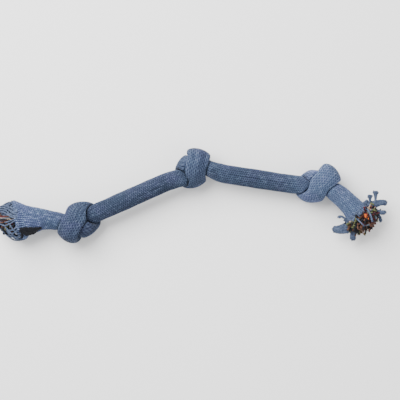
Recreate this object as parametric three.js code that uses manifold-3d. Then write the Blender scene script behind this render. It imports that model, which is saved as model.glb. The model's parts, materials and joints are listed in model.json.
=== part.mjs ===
import * as THREE from 'three';
import { mergeVertices } from 'three/addons/utils/BufferGeometryUtils.js';
import Module from 'manifold-3d';

// Rope dog toy: one length of braided cotton rope with three overhand knots and two frayed ends.
// The rope is a braided sleeve round a core of loose yarn. It lies flat in an open arch, +Z up,
// with the origin under the middle knot, where that knot stands on the table.
// Sleeve and core run through the whole toy. They are parted only where the rope bends.

// Rope, in millimetres
const ropeDiameter = 25;
const sleeveWall = 3;
const fitGap = 0.3;
const overrun = 2;

// Layout: knot centre to knot centre, and knot centre to the end of the sleeve
const leftStretch = 172;
const rightStretch = 169.5;
const leftTail = 84;
const rightTail = 69;
const leftHeading = 23.7;
const rightHeading = -7;

// The middle knot stands on one turn, so its centre is this far along and aside from the origin
const middleAlong = 7.5;
const middleAside = 5.7;

// Knots: how far each reaches below its centre, how much of that the table flattens,
// and the clear space kept between the turns of the rope
const leftReachShare = 1.112;
const middleReachShare = 1.107;
const rightReachShare = 1.0735;
const flatShare = 0.1;
const turnGap = 1.2;

// Inside a knot the rope is squeezed flat: half its width and half its thickness where it is free
const bandWidthShare = 0.74;
const bandThicknessShare = 0.43;

// The section stays round near the line through a knot's middle and beyond the knot, both in rope
// diameters. Turns of the rope nearer than the reach press on each other, and points nearer along
// the rope than the same-turn share are one turn, which keeps this share of the room in its bend.
const roundNearShare = 0.35;
const roundBeyondShare = 1.35;
const turnReachShare = 2.2;
const sameTurnShare = 1.1;
const bendRoomShare = 0.92;

// Half of an overhand knot, from its middle outwards, in rope diameters. The other half is the
// same list turned half a turn about the knot's Z axis.
const knotHalfShares = [
  [0, 0, 0.83],
  [-0.39, -0.73, 0.71],
  [-1.06, -1.04, 0.26],
  [-1.35, -1.07, -0.35],
  [-1.21, -0.54, -0.83],
  [-0.96, -0.01, -1.2],
  [-0.58, 0.71, -0.62],
  [-0.22, 0.68, -0.44],
  [-0.16, 0.62, -0.32],
  [1.24, -0.04, -0.02],
];
const knotBodyPoints = 6;

// Where a knot's own piece of rope ends, in rope diameters from its centre
const knotFaceShare = 1.3;

// Where the hinges are: shares of a stretch's free length, and rope diameters from a knot's centre
const stretchHingeShares = [0.34, 0.66];
const tailHingeShares = [1.52, 2.04];

// Frayed ends. The left sleeve opens into a trumpet whose strands curl round its brim and close in
// again. The right one is frayed into clumps that splay out beside the fanned core. A flare is how
// far the sleeve's brim stands out from the rope.
const leftFlare = 13;
const rightFlare = 1.5;
const frayFlatShare = 0.92;
const strandDiameter = 4.4;
const strandCount = 18;
const leftFray = 31;
const rightFray = 40;
const tuftDiameter = 4.2;
const leftBrush = 20;
const rightBrush = 27;

// A strand thins towards its tip, and the left ones stray from their even spacing, in radians
const strandTaperShare = 0.4;
const wanderShare = 0.1;
const wanderTurn = 3.7;

// Where clumps and tufts turn aside on the way to their tips, and how far out the tufts stand
const clumpBendShare = 0.4;
const tuftBendShare = 0.5;
const tuftSpreadShare = 0.7;

// The right core's fanned head: its half width and half height, the bunches its yarn falls into,
// how deep the creases between them are, and how far they wind from brim to tip, in radians
const headWidth = 23;
const headHeight = 14;
const headBunches = 9;
const headCreaseShare = 0.13;
const headTurn = 0.5;
const headSides = 36;

// The head's outline: shares of the brush, and of the growth from the core to the full width
const headShares = [[0.02, 0], [0.14, 0.34], [0.3, 0.76], [0.48, 0.98], [0.64, 0.98], [0.78, 0.72], [0.88, 0.2]];

// The trumpet's outline: shares of its length, and of its growth from rope to brim
const trumpetShares = [[0, 0], [0.15, 0.2], [0.3, 0.42], [0.5, 0.55], [0.7, 0.74], [0.9, 0.95], [1, 1]];

// A left strand's course: shares of the fray beyond the brim, and of the brim's radius
const curlShares = [[-0.12, 0.9], [0.1, 1], [0.4, 0.99], [0.72, 0.8], [1, 0.52]];

// Tips of the right clumps, as shares of the fray: outwards, level to the left, and up. Then how
// thick each clump is at its root and at its tip, as shares of a strand
const clumpShares = [
  [0.39, 0.99, 0.02, 1.7, 1.1],
  [0.61, 0.73, 0.12, 1, 0.8],
  [0.78, 0.46, -0.2, 0.9, 0.7],
  [-0.16, 0.95, -0.08, 0.7, 1.2],
  [-0.18, 0.72, 0.12, 0.6, 1.1],
  [-0.35, -0.57, 0.1, 0.7, 0.9],
  [-0.17, -0.97, -0.05, 2.2, 1.3],
  [0.58, -0.7, 0.02, 1.6, 1.1],
  [0.3, 0.2, 0.52, 0.8, 0.6],
  [0.42, -0.25, 0.48, 0.8, 0.6],
  [0.35, 0.3, -0.42, 0.8, 0.6],
  [0.3, -0.3, -0.42, 0.8, 0.6],
];

// Tips of the tufts of core yarn, as shares of the brush: outwards, level to the left, and up
const leftTuftShares = [
  [1, 0, 0],
  [0.86, 0.4, 0.1],
  [0.9, 0.1, 0.42],
  [0.94, -0.36, 0.16],
  [0.84, -0.2, -0.4],
  [0.92, 0.24, -0.36],
];
const rightTuftShares = [
  [1, 0.04, 0.05],
  [0.97, 0.36, 0.22],
  [0.93, 0.62, -0.05],
  [0.98, -0.34, 0.24],
  [0.94, -0.68, 0.03],
  [0.95, 0.3, -0.26],
  [0.96, -0.3, -0.24],
  [0.74, 0.84, 0.12],
  [0.76, -0.92, 0.14],
  [0.45, -1.02, 0.08],
  [0.68, 0.14, 0.56],
  [0.66, -0.42, 0.5],
  [0.62, -0.1, -0.56],
];

// Facets, and the steps along the rope between them
const strandSides = 5;
const strandSteps = 4;
const sleeveSides = 14;
const coreSides = 8;
const pointsPerSpan = 60;
const blendPower = 10;
const samePoint = 1e-4;
const routeStep = 1;
const knotStep = 5;
const stretchStep = 20;
const tailStep = 5;

const radians = THREE.MathUtils.degToRad;
const vector = (x, y, z) => new THREE.Vector3(x, y, z);

// Where the three knots lie: in plan by the stretches between them, in height by their reach
function knotCentre(heading, length, reachShare) {
  const apart = vector(length, 0, 0).applyAxisAngle(vector(0, 0, 1), radians(heading));
  return apart.add(vector(middleAlong, middleAside, (reachShare - flatShare) * ropeDiameter));
}
const leftCentre = knotCentre(leftHeading + 180, leftStretch, leftReachShare);
const middleCentre = knotCentre(0, 0, middleReachShare);
const rightCentre = knotCentre(rightHeading, rightStretch, rightReachShare);

// Each knot: how far it is pulled together lengthwise and across, its roll about the rope, the
// pitch that sets both its lower turns on the table, its own heading, and the headings of the rope
// that enters and leaves it
const leftKnot = {
  centre: leftCentre,
  lengthShare: 0.545,
  girthShare: 0.537,
  roll: 317,
  pitch: 4,
  heading: 12,
  enters: 11,
  leaves: 25,
};
const middleKnot = {
  centre: middleCentre,
  lengthShare: 0.461,
  girthShare: 0.478,
  roll: 45,
  pitch: 3,
  heading: 32,
  enters: 42,
  leaves: 23,
};
const rightKnot = {
  centre: rightCentre,
  lengthShare: 0.585,
  girthShare: 0.435,
  roll: 30,
  pitch: -1,
  heading: 5,
  enters: 3,
  leaves: -17,
};
const knots = [leftKnot, middleKnot, rightKnot];
const freeRadius = ropeDiameter / 2;
const leftBrimRadius = freeRadius + leftFlare;
const rightBrimRadius = freeRadius + rightFlare;

// Route points between the knots, as shares of the stretch: along it and to its left
const leftStretchShares = [
  [0.225, -0.004],
  [0.336, -0.003],
  [0.447, -0.003],
  [0.558, -0.002],
  [0.669, -0.002],
  [0.78, -0.001],
];
const rightStretchShares = [
  [0.192, -0.004],
  [0.314, -0.008],
  [0.436, -0.011],
  [0.558, -0.015],
  [0.68, -0.019],
  [0.802, -0.022],
];

// Route points of the tails, as shares of the tail, from the knot's centre
const leftTailShares = [
  [-1.4, 0.02, -0.03],
  [-1.2, 0.02, -0.025],
  [-0.95, 0.02, -0.02],
  [-0.7, 0.02, -0.01],
  [-0.48, 0.013, 0],
];
const rightTailShares = [
  [0.479, -0.231, 0],
  [0.699, -0.466, 0],
  [0.85, -0.632, -0.01],
  [0.988, -0.789, -0.02],
  [1.126, -0.947, -0.03],
];

function knotPoints(knot) {
  const length = knot.lengthShare * ropeDiameter;
  const girth = knot.girthShare * ropeDiameter;
  const place = ([x, y, z], side, index) => {
    const point = vector(x * length * side, y * girth * side, z * girth);
    point.applyAxisAngle(vector(1, 0, 0), radians(knot.roll));
    point.applyAxisAngle(vector(0, 1, 0), radians(-knot.pitch));
    const outside = Math.max(0, (index - knotBodyPoints) / (knotHalfShares.length - 1 - knotBodyPoints));
    const beyond = side > 0 ? knot.leaves : knot.enters;
    const heading = THREE.MathUtils.lerp(knot.heading, beyond, outside);
    point.applyAxisAngle(vector(0, 0, 1), radians(heading));
    return point.add(knot.centre);
  };
  const after = knotHalfShares.map((share, index) => place(share, 1, index));
  const before = knotHalfShares.slice(1).map((share, index) => place(share, -1, index + 1));
  return [...before.reverse(), ...after];
}

function stretchPoints(from, to, shares) {
  const line = to.clone().sub(from);
  const left = vector(-line.y, line.x, 0);
  return shares.map(([run, aside]) => from.clone().addScaledVector(line, run).addScaledVector(left, aside));
}

function tailPoints(centre, length, shares) {
  return shares.map(([x, y, z]) => centre.clone().add(vector(x, y, z).multiplyScalar(length)));
}

const controlPoints = [
  ...tailPoints(leftCentre, leftTail, leftTailShares),
  ...knotPoints(leftKnot),
  ...stretchPoints(leftCentre, middleCentre, leftStretchShares),
  ...knotPoints(middleKnot),
  ...stretchPoints(middleCentre, rightCentre, rightStretchShares),
  ...knotPoints(rightKnot),
  ...tailPoints(rightCentre, rightTail, rightTailShares),
];

// The rope's centre line is a uniform cubic B-spline over the control points, walked in even steps
const blends = [
  (u) => (1 - u) ** 3,
  (u) => 3 * u ** 3 - 6 * u ** 2 + 4,
  (u) => -3 * u ** 3 + 3 * u ** 2 + 3 * u + 1,
  (u) => u ** 3,
];

function splinePoint(points, position) {
  const first = Math.min(Math.floor(position), points.length - blends.length);
  const point = vector(0, 0, 0);
  blends.forEach((blend, index) => point.addScaledVector(points[first + index], blend(position - first) / 6));
  return point;
}

function evenRoute(points, step) {
  const fine = [];
  for (let index = 0; index <= (points.length - blends.length + 1) * pointsPerSpan; index += 1) {
    fine.push(splinePoint(points, index / pointsPerSpan));
  }
  const lengths = [0];
  for (let index = 1; index < fine.length; index += 1) {
    lengths.push(lengths[index - 1] + fine[index].distanceTo(fine[index - 1]));
  }
  const count = Math.round(lengths[lengths.length - 1] / step);
  const route = [];
  let cursor = 0;
  for (let index = 0; index <= count; index += 1) {
    const target = (index / count) * lengths[lengths.length - 1];
    while (cursor < lengths.length - 2 && lengths[cursor + 1] < target) cursor += 1;
    const share = (target - lengths[cursor]) / (lengths[cursor + 1] - lengths[cursor]);
    route.push(fine[cursor].clone().lerp(fine[cursor + 1], share));
  }
  return { points: route, total: lengths[lengths.length - 1] };
}

const { points: route, total: ropeLength } = evenRoute(controlPoints, routeStep);
const spacing = ropeLength / (route.length - 1);

// A frame that turns with the rope and never twists about it
const tangents = route.map((point, index) => {
  const next = route[Math.min(index + 1, route.length - 1)];
  const last = route[Math.max(index - 1, 0)];
  return next.clone().sub(last).normalize();
});
const normals = [];
tangents.forEach((tangent, index) => {
  const guide = index === 0 ? vector(0, 0, 1) : normals[index - 1].clone();
  normals.push(guide.addScaledVector(tangent, -guide.dot(tangent)).normalize());
});

function frameAt(length) {
  const place = THREE.MathUtils.clamp(length / spacing, 0, route.length - 1);
  const index = Math.min(Math.floor(place), route.length - 2);
  const share = place - index;
  const centre = route[index].clone().lerp(route[index + 1], share);
  const tangent = tangents[index].clone().lerp(tangents[index + 1], share).normalize();
  const normal = normals[index].clone().lerp(normals[index + 1], share);
  normal.addScaledVector(tangent, -normal.dot(tangent)).normalize();
  return { centre, tangent, normal, side: tangent.clone().cross(normal), length };
}

// Arc length at which the rope, walked outwards from a knot, is a given distance from its centre
function lengthOutside(knot, side, distance) {
  const within = [];
  route.forEach((point, index) => {
    if (point.distanceTo(knot.centre) < distance) within.push(index);
  });
  return (side < 0 ? within[0] : within[within.length - 1]) * spacing;
}

// How far the rope reaches from its centre line along one ray. A free rope is round. Within a knot
// it flattens against the knot's middle, and where two turns press together each ends at the
// plane halfway between them, less half the gap.
const turnReach = turnReachShare * ropeDiameter;
const sameTurn = sameTurnShare * ropeDiameter;

function sectionRadius(frame, ray) {
  const nearer = (one, other) => {
    const closer = frame.centre.distanceTo(other.centre) < frame.centre.distanceTo(one.centre);
    return closer ? other : one;
  };
  const knot = knots.reduce(nearer);
  const outward = frame.centre.clone().sub(knot.centre);
  const distance = outward.length();
  outward.addScaledVector(frame.tangent, -outward.dot(frame.tangent));
  const clear = THREE.MathUtils.clamp(outward.length() / (roundNearShare * ropeDiameter), 0, 1);
  const inside = THREE.MathUtils.clamp((roundBeyondShare * ropeDiameter - distance) / freeRadius, 0, 1);
  const flattened = clear * inside;
  outward.normalize();
  const across = frame.tangent.clone().cross(outward);
  const halfWidth = THREE.MathUtils.lerp(freeRadius, bandWidthShare * ropeDiameter, flattened);
  const halfThickness = THREE.MathUtils.lerp(freeRadius, bandThicknessShare * ropeDiameter, flattened);
  const radius = 1 / Math.hypot(ray.dot(outward) / halfThickness, ray.dot(across) / halfWidth);
  let limit = Infinity;
  route.forEach((point, index) => {
    const gap = point.clone().sub(frame.centre);
    const reach = gap.length();
    if (reach > turnReach || reach < spacing) return;
    const toward = gap.dot(ray);
    if (toward <= 0) return;
    const apart = Math.abs(index * spacing - frame.length) > sameTurn;
    const room = apart ? reach - turnGap : reach * bendRoomShare;
    limit = Math.min(limit, (reach * room) / (2 * toward));
  });
  return (radius ** -blendPower + limit ** -blendPower) ** (-1 / blendPower);
}

function ring(length, sides, inset) {
  const frame = frameAt(length);
  const points = [];
  for (let index = 0; index < sides; index += 1) {
    const angle = (index / sides) * 2 * Math.PI;
    const ray = frame.normal.clone().multiplyScalar(Math.cos(angle));
    ray.addScaledVector(frame.side, Math.sin(angle));
    points.push(frame.centre.clone().addScaledVector(ray, sectionRadius(frame, ray) - inset));
  }
  return { centre: frame.centre, points };
}

// A closed skin over a row of rings, with a fan of faces at each end
function skin(rings) {
  const sides = rings[0].points.length;
  const positions = [];
  const faces = [];
  rings.forEach(({ points }) => points.forEach((point) => positions.push(point.x, point.y, point.z)));
  const first = rings[0].centre;
  const last = rings[rings.length - 1].centre;
  positions.push(first.x, first.y, first.z, last.x, last.y, last.z);
  const startHub = rings.length * sides;
  for (let row = 0; row < rings.length - 1; row += 1) {
    for (let index = 0; index < sides; index += 1) {
      const a = row * sides + index;
      const b = row * sides + ((index + 1) % sides);
      faces.push(a, b, b + sides, a, b + sides, a + sides);
    }
  }
  const lastRow = (rings.length - 1) * sides;
  for (let index = 0; index < sides; index += 1) {
    const next = (index + 1) % sides;
    faces.push(startHub, next, index);
    faces.push(startHub + 1, lastRow + index, lastRow + next);
  }
  const geometry = new THREE.BufferGeometry();
  geometry.setAttribute('position', new THREE.Float32BufferAttribute(positions, 3));
  geometry.setIndex(faces);
  return geometry;
}

// Solids are joined and cut by these
const wasm = await Module();
wasm.setup();

function toSolid(geometry) {
  const plain = geometry.clone();
  plain.deleteAttribute('normal');
  plain.deleteAttribute('uv');
  const merged = mergeVertices(plain, samePoint);
  return new wasm.Manifold(new wasm.Mesh({
    numProp: 3,
    vertProperties: new Float32Array(merged.getAttribute('position').array),
    triVerts: new Uint32Array(merged.getIndex().array),
  }));
}

function toGeometry(solid) {
  const mesh = solid.getMesh();
  const geometry = new THREE.BufferGeometry();
  geometry.setAttribute('position', new THREE.BufferAttribute(new Float32Array(mesh.vertProperties), 3));
  geometry.setIndex(new THREE.BufferAttribute(new Uint32Array(mesh.triVerts), 1));
  return geometry;
}

// The table's face: whatever would lie below it is pressed flat
function aboveTable(solid) {
  const size = ropeLength;
  const depth = 2 * ropeDiameter;
  const block = new THREE.BoxGeometry(size, size, depth);
  block.translate(0, 0, -depth / 2);
  return solid.subtract(toSolid(block));
}

function knotRings(start, end, sides, inset) {
  const count = Math.round((end - start) / knotStep);
  const rings = [];
  for (let index = 0; index <= count; index += 1) {
    const length = start + ((end - start) * index) / count;
    rings.push({ ...ring(length, sides, inset), length });
  }
  return rings;
}

// The smallest distance between points on different turns of one knot
function leastGap(rings) {
  let least = Infinity;
  rings.forEach((one) => rings.forEach((other) => {
    if (other.length - one.length < sameTurn) return;
    one.points.forEach((point) => other.points.forEach((facing) => {
      least = Math.min(least, point.distanceTo(facing));
    }));
  }));
  return least;
}

// A piece of rope inside a knot, as a solid of the section less an inset
function knotSolid(start, end, sides, inset, extra) {
  const rings = knotRings(start, end, sides, inset);
  if (extra > 0) {
    const before = frameAt(start).tangent.multiplyScalar(-extra);
    const after = frameAt(end).tangent.multiplyScalar(extra);
    const shifted = (source, by) => ({
      centre: source.centre.clone().add(by),
      points: source.points.map((point) => point.clone().add(by)),
    });
    rings.unshift(shifted(rings[0], before));
    rings.push(shifted(rings[rings.length - 1], after));
  }
  return toSolid(skin(rings));
}

// A stretch of free rope: a round section drawn along the route
function circlePath(PathType, radius, sides) {
  const outline = new PathType();
  for (let index = 0; index < sides; index += 1) {
    const angle = (index / sides) * 2 * Math.PI;
    const x = radius * Math.cos(angle);
    const y = radius * Math.sin(angle);
    if (index === 0) outline.moveTo(x, y);
    else outline.lineTo(x, y);
  }
  outline.closePath();
  return outline;
}

class RoutePiece extends THREE.Curve {
  constructor(start, end) {
    super();
    this.start = start;
    this.end = end;
  }

  getPoint(share, target = new THREE.Vector3()) {
    return target.copy(frameAt(THREE.MathUtils.lerp(this.start, this.end, share)).centre);
  }

  getTangent(share, target = new THREE.Vector3()) {
    return target.copy(frameAt(THREE.MathUtils.lerp(this.start, this.end, share)).tangent);
  }
}

function freeTube(start, end, outline, step) {
  const steps = Math.ceil((end - start) / step);
  return new THREE.ExtrudeGeometry(outline, { steps, extrudePath: new RoutePiece(start, end) });
}

const coreRadius = freeRadius - sleeveWall - fitGap;

function freeSleeve(start, end, step) {
  const outline = circlePath(THREE.Shape, freeRadius, sleeveSides);
  outline.holes.push(circlePath(THREE.Path, freeRadius - sleeveWall, coreSides));
  return freeTube(start, end, outline, step);
}

function freeCore(start, end, step) {
  return freeTube(start, end, circlePath(THREE.Shape, coreRadius, coreSides), step);
}

// Materials
const denim = () => new THREE.MeshStandardMaterial({ color: 0x5f6f92, roughness: 0.95, metalness: 0 });
const yarn = () => new THREE.MeshStandardMaterial({ color: 0x6b3a33, roughness: 1, metalness: 0 });

const toy = new THREE.Group();

function addPiece(name, geometry, material) {
  const mesh = new THREE.Mesh(geometry, material);
  mesh.name = name;
  toy.add(mesh);
}

// A frayed end's own frame: outwards along the rope, level to the left of that, and up
function endFrame(length, side) {
  const { centre, tangent } = frameAt(length);
  const outward = tangent.multiplyScalar(side);
  const level = vector(0, 0, 1).cross(outward).normalize();
  const rise = outward.clone().cross(level);
  return { centre, outward, level, rise };
}

function placeAt(frame, out, left, up) {
  return frame.centre.clone().addScaledVector(frame.outward, out)
    .addScaledVector(frame.level, left).addScaledVector(frame.rise, up);
}

// A strand: a rod through hand-set points, which changes thickness towards its tip
function strand(points, diameter, tipDiameter) {
  const curve = new THREE.CatmullRomCurve3(points);
  const frames = curve.computeFrenetFrames(strandSteps, false);
  const rings = [];
  for (let step = 0; step <= strandSteps; step += 1) {
    const share = step / strandSteps;
    const centre = curve.getPointAt(share);
    const radius = THREE.MathUtils.lerp(diameter, tipDiameter, share ** 2) / 2;
    const around = [];
    for (let index = 0; index < strandSides; index += 1) {
      const angle = (index / strandSides) * 2 * Math.PI;
      around.push(centre.clone()
        .addScaledVector(frames.normals[step], radius * Math.cos(angle))
        .addScaledVector(frames.binormals[step], radius * Math.sin(angle)));
    }
    rings.push({ centre, points: around });
  }
  return toSolid(skin(rings));
}

// The rope's last piece before a frayed end, as a solid that flares from one radius to another.
// An extra length carries a cutter past both of its ends.
function flaredSolid(start, end, side, radii, flatShare, sides, extra) {
  const rings = trumpetShares.map(([run, growth]) => {
    const frame = endFrame(THREE.MathUtils.lerp(start, end, run), side);
    const radius = THREE.MathUtils.lerp(radii[0], radii[1], growth);
    const flatten = THREE.MathUtils.lerp(1, flatShare, growth);
    const points = [];
    for (let index = 0; index < sides; index += 1) {
      const angle = (index / sides) * 2 * Math.PI;
      points.push(placeAt(frame, 0, radius * Math.cos(angle), radius * flatten * Math.sin(angle)));
    }
    return { centre: frame.centre, points };
  });
  const shifted = (source, by) => ({
    centre: source.centre.clone().add(by),
    points: source.points.map((point) => point.clone().add(by)),
  });
  if (extra > 0) {
    const beyond = endFrame(end, side).outward.multiplyScalar(extra);
    const before = endFrame(start, side).outward.multiplyScalar(-extra);
    rings.unshift(shifted(rings[0], before));
    rings.push(shifted(rings[rings.length - 1], beyond));
  }
  return toSolid(skin(rings));
}

function joined(solids) {
  return solids.reduce((whole, solid) => whole.add(solid));
}

function leftStrands(frame, extra) {
  const strands = [];
  for (let index = 0; index < strandCount; index += 1) {
    const angle = (index / strandCount) * 2 * Math.PI;
    const wander = wanderShare * Math.sin(wanderTurn * index);
    const points = curlShares.map(([run, reach]) => {
      const radius = leftBrimRadius * reach - (run < 0 ? sleeveWall / 2 : strandDiameter / 2);
      const turned = angle + wander * run;
      const flatten = frayFlatShare * radius * Math.sin(turned);
      return placeAt(frame, leftFray * run * (1 + wander), radius * Math.cos(turned), flatten);
    });
    strands.push(strand(points, strandDiameter + extra, strandDiameter * (1 - strandTaperShare) + extra));
  }
  return strands;
}

// Clumps wider by an extra length clear their way through the core's head
function rightClumps(frame, extra) {
  return clumpShares.map(([out, left, up, rootShare, tipShare]) => {
    const angle = Math.atan2(up, left);
    const wall = rightBrimRadius - sleeveWall / 2;
    const root = (run, radius) => placeAt(frame, run, radius * Math.cos(angle), radius * Math.sin(angle));
    const tip = placeAt(frame, out * rightFray, left * rightFray, up * rightFray);
    const bend = root(strandDiameter, wall + strandDiameter).lerp(tip, clumpBendShare);
    const points = [root(-strandDiameter, wall), root(strandDiameter / 2, wall), bend, tip];
    return strand(points, rootShare * strandDiameter + extra, tipShare * strandDiameter + extra);
  });
}

function tufts(frame, length, shares) {
  return shares.map(([out, left, up]) => {
    const spread = coreRadius * tuftSpreadShare;
    const reach = Math.max(1, Math.hypot(left, up));
    const root = (run) => placeAt(frame, run, (spread * left) / reach, (spread * up) / reach);
    const tip = placeAt(frame, out * length, left * length, up * length);
    const bend = root(tuftDiameter).lerp(tip, tuftBendShare);
    const points = [root(-tuftDiameter), root(tuftDiameter / 2), bend, tip];
    return strand(points, tuftDiameter, tuftDiameter * (1 - strandTaperShare));
  });
}

// The right core fans into a creased head beyond the brim, and its tufts stand out of that
function fannedHead(frame) {
  const rings = headShares.map(([run, growth]) => {
    const points = [];
    for (let index = 0; index < headSides; index += 1) {
      const angle = (index / headSides) * 2 * Math.PI;
      const crease = 1 - headCreaseShare * growth * (1 - Math.cos(headBunches * (angle + headTurn * run)));
      const halfWidth = THREE.MathUtils.lerp(coreRadius, headWidth, growth) * crease;
      const halfHeight = THREE.MathUtils.lerp(coreRadius, headHeight, growth) * crease;
      points.push(placeAt(frame, run * rightBrush, halfWidth * Math.cos(angle), halfHeight * Math.sin(angle)));
    }
    return { centre: placeAt(frame, run * rightBrush, 0, 0), points };
  });
  return toSolid(skin(rings));
}

// The body left when whatever a cut has parted from it falls away
function largestBody(solid) {
  return solid.decompose().reduce((one, other) => (other.volume() > one.volume() ? other : one));
}

// Where each piece starts and ends along the rope
const ends = {};
const knotFace = knotFaceShare * ropeDiameter;
ends.leftKnotIn = lengthOutside(leftKnot, -1, tailHingeShares[0] * ropeDiameter);
ends.leftKnotOut = lengthOutside(leftKnot, 1, knotFace);
ends.middleKnotIn = lengthOutside(middleKnot, -1, knotFace);
ends.middleKnotOut = lengthOutside(middleKnot, 1, knotFace);
ends.rightKnotIn = lengthOutside(rightKnot, -1, knotFace);
ends.rightKnotOut = lengthOutside(rightKnot, 1, tailHingeShares[0] * ropeDiameter);
ends.leftTailBend = lengthOutside(leftKnot, -1, tailHingeShares[1] * ropeDiameter);
ends.rightTailBend = lengthOutside(rightKnot, 1, tailHingeShares[1] * ropeDiameter);

const halfGap = fitGap / 2;

function addKnot(name, start, end) {
  const from = start + halfGap;
  const to = end - halfGap;
  const outside = knotSolid(from, to, sleeveSides, 0, 0);
  const bore = knotSolid(from, to, coreSides, sleeveWall, overrun);
  const core = knotSolid(from, to, coreSides, sleeveWall + fitGap, 0);
  addPiece(`${name}_sleeve`, toGeometry(aboveTable(outside.subtract(bore))), denim());
  addPiece(`${name}_core`, toGeometry(core), yarn());
  console.log(`${name}: least gap between its turns ${leastGap(knotRings(from, to, sleeveSides, 0)).toFixed(2)} mm`);
}

function addFree(name, start, end, step) {
  addPiece(`${name}_sleeve`, freeSleeve(start + halfGap, end - halfGap, step), denim());
  addPiece(`${name}_core`, freeCore(start + halfGap, end - halfGap, step), yarn());
}

function addStretch(side, start, end) {
  const first = start + (end - start) * stretchHingeShares[0];
  const second = start + (end - start) * stretchHingeShares[1];
  const names = side === 'left' ? ['outer', 'bend', 'inner'] : ['inner', 'bend', 'outer'];
  addFree(`${side}_stretch_${names[0]}`, start, first, stretchStep);
  addFree(`${side}_stretch_${names[1]}`, first, second, stretchStep);
  addFree(`${side}_stretch_${names[2]}`, second, end, stretchStep);
}

addKnot('left_knot', ends.leftKnotIn, ends.leftKnotOut);
addStretch('left', ends.leftKnotOut, ends.middleKnotIn);
addKnot('middle_knot', ends.middleKnotIn, ends.middleKnotOut);
addStretch('right', ends.middleKnotOut, ends.rightKnotIn);
addKnot('right_knot', ends.rightKnotIn, ends.rightKnotOut);
addFree('left_tail_bend', ends.leftTailBend, ends.leftKnotIn, tailStep);
addFree('right_tail_bend', ends.rightKnotOut, ends.rightTailBend, tailStep);

function addTassel(name, start, end, side, brimRadius, fray, brush) {
  const from = start + halfGap * side;
  const frame = endFrame(end, side);
  const outside = flaredSolid(from, end, side, [freeRadius, brimRadius], frayFlatShare, sleeveSides, 0);
  const boreRadii = [freeRadius - sleeveWall, brimRadius - sleeveWall];
  const bore = flaredSolid(from, end, side, boreRadii, frayFlatShare, coreSides, overrun);
  const sleeve = joined([outside.subtract(bore), ...fray(frame, 0)]);
  addPiece(`${name}_sleeve`, toGeometry(aboveTable(sleeve)), denim());
  const tube = flaredSolid(from, end, side, [coreRadius, coreRadius], 1, coreSides, 0);
  const core = joined([tube, ...brush(frame)]).subtract(joined(fray(frame, 2 * fitGap)));
  addPiece(`${name}_core`, toGeometry(aboveTable(largestBody(core))), yarn());
}

ends.leftSleeve = lengthOutside(leftKnot, -1, leftTail);
ends.rightSleeve = lengthOutside(rightKnot, 1, rightTail);
addTassel('left_tassel', ends.leftTailBend, ends.leftSleeve, -1, leftBrimRadius, leftStrands,
  (frame) => tufts(frame, leftBrush, leftTuftShares));
addTassel('right_tassel', ends.rightTailBend, ends.rightSleeve, 1, rightBrimRadius, rightClumps,
  (frame) => [fannedHead(frame), ...tufts(frame, rightBrush, rightTuftShares)]);

console.log(`rope length along its centre line ${ropeLength.toFixed(0)} mm`);

export default toy;
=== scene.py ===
"""A rope dog toy: braided blue-grey cotton rope, three overhand knots and two frayed ends."""

import json
import math

import bmesh
import bpy
import numpy as np
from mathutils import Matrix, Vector


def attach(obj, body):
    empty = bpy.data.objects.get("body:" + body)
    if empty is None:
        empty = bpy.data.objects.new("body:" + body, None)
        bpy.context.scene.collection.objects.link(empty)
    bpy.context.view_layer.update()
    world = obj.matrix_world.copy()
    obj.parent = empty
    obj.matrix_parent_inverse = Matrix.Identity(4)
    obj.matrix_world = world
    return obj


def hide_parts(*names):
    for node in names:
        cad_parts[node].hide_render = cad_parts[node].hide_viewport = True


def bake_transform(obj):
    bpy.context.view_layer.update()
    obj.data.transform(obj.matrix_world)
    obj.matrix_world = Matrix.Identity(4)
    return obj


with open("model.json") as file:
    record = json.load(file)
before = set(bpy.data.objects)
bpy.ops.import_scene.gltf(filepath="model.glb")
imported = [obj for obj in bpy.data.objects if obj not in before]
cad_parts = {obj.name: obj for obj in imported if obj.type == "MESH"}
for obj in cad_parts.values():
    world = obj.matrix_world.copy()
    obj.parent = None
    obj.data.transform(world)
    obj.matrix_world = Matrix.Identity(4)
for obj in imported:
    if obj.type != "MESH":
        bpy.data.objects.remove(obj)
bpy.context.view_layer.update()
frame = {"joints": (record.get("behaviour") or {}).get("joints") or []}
rng = np.random.default_rng(8)

# Corners nearer to each other than this are merged, and no surface lies lower than this
merge_distance = 1e-7
lowest = 0.0002

# Turned by this angle again and again, points spread evenly over a disc
golden_angle = math.pi * (3 - math.sqrt(5))


def linked(name, data):
    made = bpy.data.objects.new(name, data)
    bpy.context.scene.collection.objects.link(made)
    return made


# Camera: square above the toy, and far enough off for a slight perspective
pixel = 0.001359
frame_pixels = 400
sensor_width = 36
view_centre = (0.01543, -0.03572)
view_height = 2.2
rope_axis_height = 0.02575

camera_data = bpy.data.cameras.new("camera")
camera_data.sensor_width = sensor_width
camera_data.lens = sensor_width * (view_height - rope_axis_height) / (frame_pixels * pixel)
camera = linked("camera", camera_data)
camera.location = (*view_centre, view_height)
bpy.context.scene.camera = camera

# The rope and how it lies, in metres, as in the part. Headings are in degrees from +X towards +Y.
rope_diameter = 0.025
rope_radius = rope_diameter / 2
left_stretch = 0.172
right_stretch = 0.1695
left_tail = 0.084
right_tail = 0.069
left_heading = 23.7
right_heading = -7
left_height = 0.0253
middle_height = 0.025175
right_height = 0.0243375
middle_place = np.array([0.0075, 0.0057, 0])

# The rope's section, in rope diameters: how wide and thick it is in a knot, how near a knot's
# middle and how far off it is round, how far the next turn may be off to press on it, and how
# far along the rope a turn reaches. Where it bends sharply it keeps a share of its room.
band_width_share = 0.74
band_thickness_share = 0.43
round_near_share = 0.35
round_beyond_share = 1.35
turn_reach_share = 2.2
same_turn_share = 1.1
bend_room_share = 0.92

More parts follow.
